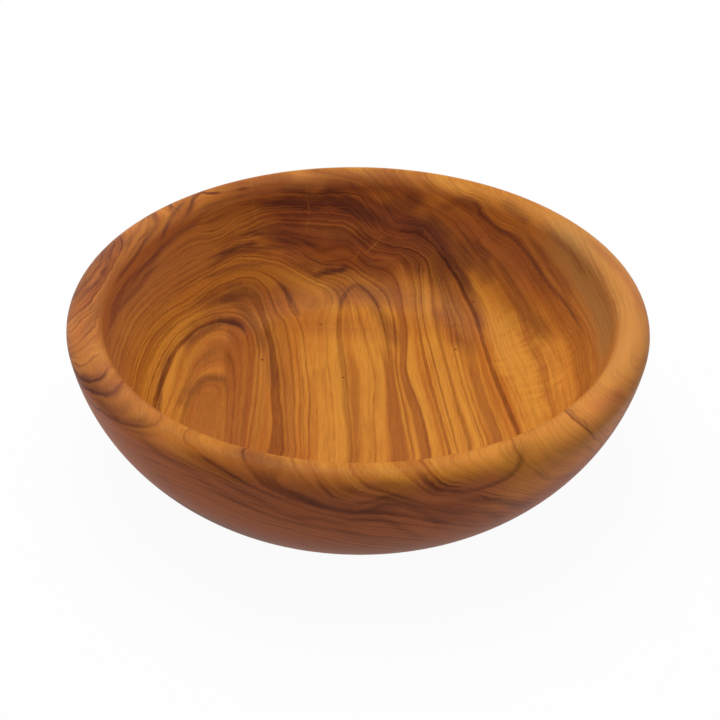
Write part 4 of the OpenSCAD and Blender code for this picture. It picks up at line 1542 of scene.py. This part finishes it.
@dataclass
class PhotoCamera:
    """Camera at the photograph's viewing angle: angles in degrees, distance in metres, lens in millimetres."""

    distance: float = 0.390
    elevation: float = 36.859
    tip: float = -2.252
    swing: float = 0.091
    roll: float = 0.792
    lens: float = 82.61
    sensor: float = 36.0
    nearest: float = 0.01

    def build(self) -> bpy.types.Object:
        """Makes the camera and gives it to the scene.

        Returns:
            The camera.
        """
        high, swing, roll = (math.radians(a) for a in (self.elevation, self.swing, self.roll))
        dip = high + math.radians(self.tip)
        ahead = Vector((math.sin(swing) * math.cos(dip), math.cos(swing) * math.cos(dip), -math.sin(dip)))
        right = Vector((math.cos(swing), -math.sin(swing), 0.0))
        up = right.cross(ahead)
        right, up = right * math.cos(roll) + up * math.sin(roll), up * math.cos(roll) - right * math.sin(roll)
        eye = Vector((0.0, -self.distance * math.cos(high), self.distance * math.sin(high)))
        data = bpy.data.cameras.new("camera")
        data.sensor_width, data.lens, data.clip_start = self.sensor, self.lens, self.nearest
        made = bpy.data.objects.new("camera", data)
        bpy.context.scene.collection.objects.link(made)
        made.matrix_world = Matrix((right, up, -ahead)).transposed().to_4x4()
        made.location = eye
        bpy.context.scene.camera = made
        return made


@dataclass
class Studio:
    """White sweep of floor, soft room light and one wide lamp overhead."""

    room: float = 0.40
    lamp_power: float = 6.2
    lamp_size: float = 0.7
    lamp_place: tuple[float, float, float] = (-0.1, 0.25, 0.9)
    lamp_aim: tuple[float, float, float] = (0.0, 0.0, 0.01)
    floor_half: float = 3.0
    floor_grey: float = 0.38
    floor_white: float = 0.9
    floor_glow: float = 0.95

    @staticmethod
    def _seen(bench: Bench) -> Wire:
        """Tells rays that show the background, straight or mirrored, from those that light the dish.

        Args:
            bench: Bench of the tree that asks.

        Returns:
            1 for rays that show it.
        """
        path = bench.node("ShaderNodeLightPath").socket.node.outputs
        kinds = ("Camera", "Glossy", "Transmission")
        camera, glossy, through = (Wire(bench, path[f"Is {kind} Ray"]) for kind in kinds)
        return camera.most(glossy).most(through)

    def light(self) -> None:
        """Makes the room's light and the lamp."""
        world = bpy.data.worlds.new("room")
        bpy.context.scene.world = world
        world.use_nodes = True
        world.node_tree.nodes.clear()
        bench = Bench(world.node_tree)
        dim = bench.node("ShaderNodeBackground", None, {"Strength": self.room})
        white = bench.node("ShaderNodeBackground", None, {"Strength": 1.0})
        mixed = bench.node("ShaderNodeMixShader", None, {0: self._seen(bench), 1: dim, 2: white})
        for shader in (dim, white):
            shader.socket.node.inputs["Color"].default_value = (1, 1, 1, 1)
        bench.node("ShaderNodeOutputWorld", None, {"Surface": mixed})
        data = bpy.data.lights.new("lamp", "AREA")
        data.size, data.energy = self.lamp_size, self.lamp_power
        lamp = bpy.data.objects.new("lamp", data)
        bpy.context.scene.collection.objects.link(lamp)
        lamp.location = self.lamp_place
        lamp.rotation_euler = (Vector(self.lamp_aim) - lamp.location).to_track_quat("-Z", "Y").to_euler()

    def floor(self) -> bpy.types.Object:
        """Makes the floor, which is white to the eye and still takes the dish's shadow.

        Returns:
            The floor.
        """
        half = self.floor_half
        mesh = bpy.data.meshes.new("floor")
        mesh.from_pydata([(-half, -half, 0), (half, -half, 0), (half, half, 0), (-half, half, 0)], [], [(0, 1, 2, 3)])
        made = bpy.data.materials.new("white_floor")
        made.use_nodes = True
        made.node_tree.nodes.clear()
        bench = Bench(made.node_tree)
        grey, pale = (bench.node("ShaderNodeBsdfDiffuse", None, {"Color": (level,) * 3 + (1.0,)})
                      for level in (self.floor_grey, self.floor_white))
        glow = bench.node("ShaderNodeEmission", None, {"Strength": 1.0})
        white = bench.node("ShaderNodeMixShader", None, {0: self.floor_glow, 1: pale, 2: glow})
        mixed = bench.node("ShaderNodeMixShader", None, {0: self._seen(bench), 1: grey, 2: white})
        bench.node("ShaderNodeOutputMaterial", None, {"Surface": mixed})
        mesh.materials.append(made)
        floor = bpy.data.objects.new("floor", mesh)
        bpy.context.scene.collection.objects.link(floor)
        return floor


def main() -> None:
    """Builds the studio and the dish, and reports each piece."""
    logging.basicConfig(level=logging.INFO, format="%(name)s: %(message)s")
    bpy.context.scene.view_settings.view_transform = "Standard"
    PhotoCamera().build()
    studio = Studio()
    studio.light()
    studio.floor()
    LOG.info("camera, lamp and floor are in place")

    dish = TurnedDish()
    wood = OliveWood()
    piece = dish.build(wood.material())
    rings = GrowthRings(GUIDES)
    rings.fit(dish.section(), dish.foot)
    places = dish.points()
    dish.mark("ring", rings.at(places))
    dish.mark("pace", rings.pace(places, dish.normals()))
    wood.stain(dish)
    dish.place()
    faces, knots = len(piece.data.polygons), len(rings.knots)
    LOG.info("%s: %d points, %d faces, %d guide points", piece.name, len(places), faces, knots)


if __name__ == "__main__":
    main()
